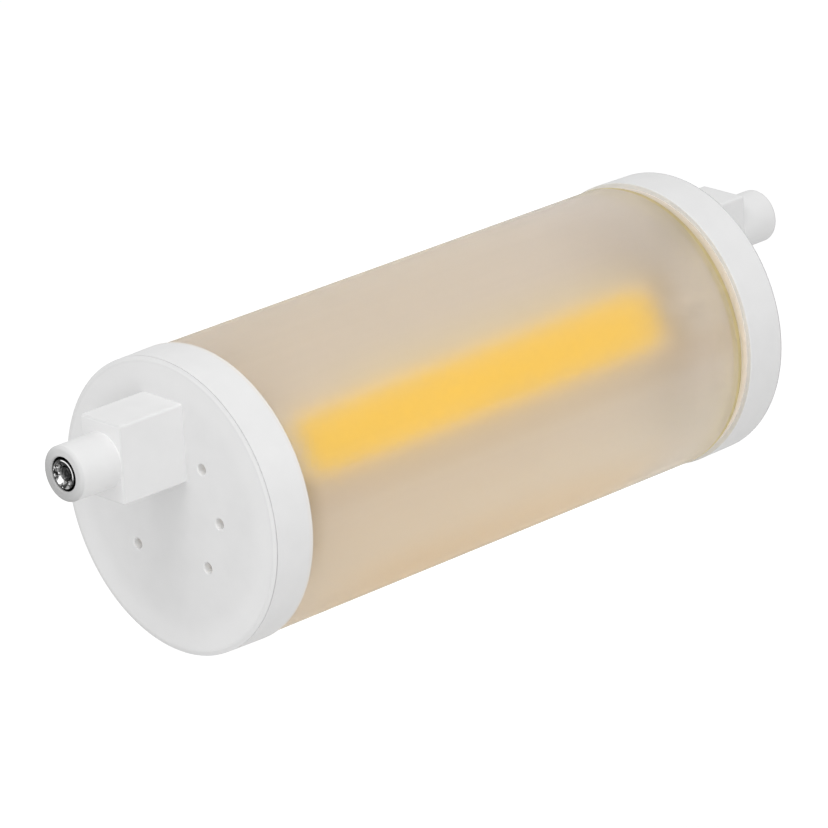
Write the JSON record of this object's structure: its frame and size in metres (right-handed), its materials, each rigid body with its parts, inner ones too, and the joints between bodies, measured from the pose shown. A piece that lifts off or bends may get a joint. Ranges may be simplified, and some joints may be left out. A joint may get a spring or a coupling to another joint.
{
  "type": "linear led bulb",
  "caption": "Linear LED lamp: a frosted tube around an LED core, and on each end a white moulded cap with an offset boss, round nose and metal contact for a linear lamp holder.",
  "frame": {"origin": "centre of the lamp, on the tube's axis halfway between the caps", "axes": "+X along the tube to the right-hand nose, +Z from the tube's axis towards the bosses"},
  "size_m": [0.118, 0.037, 0.037],
  "materials": {
    "cap_plastic": "satin moulded",
    "frosted_tube": "frosted",
    "contact_metal": "polished",
    "coated_aluminium": "white coated",
    "led_board": "matt",
    "phosphor": "cast silicone",
    "solder": "soldered",
    "lead_insulation": "satin",
    "seal_silicone": "matt",
    "liner_film": "satin",
    "circuit_board": "solder mask",
    "component_black": "moulded",
    "component_blue": "dipped",
    "component_red": "moulded",
    "component_grey": "coated"
  },
  "bodies": {
    "root": {"bridge_rectifier": "component_black", "contact_left": "contact_metal", "contact_right": "contact_metal", "current_regulator": "component_black", "diffuser_tube": "frosted_tube", "driver_board": "circuit_board", "end_cap_left": "cap_plastic", "end_cap_right": "cap_plastic", "film_capacitor": "component_red", "fuse_resistor": "component_grey", "heat_sink_core": "coated_aluminium", "insulating_liner": "liner_film", "led_board_front": "led_board", "led_board_lower": "led_board", "led_board_rear": "led_board", "led_lead_front_left": "lead_insulation", "led_lead_front_right": "lead_insulation", "led_lead_lower_left": "lead_insulation", "led_lead_lower_right": "lead_insulation", "led_lead_rear_left": "lead_insulation", "led_lead_rear_right": "lead_insulation", "mains_lead_left": "lead_insulation", "mains_lead_right": "lead_insulation", "phosphor_strip_front": "phosphor", "phosphor_strip_lower": "phosphor", "phosphor_strip_rear": "phosphor", "sense_resistors": "component_black", "smoothing_capacitor": "component_black", "solder_joints_left": "solder", "solder_joints_right": "solder", "tube_seal_left": "seal_silicone", "tube_seal_right": "seal_silicone", "varistor": "component_blue"}
  },
  "joints": []
}
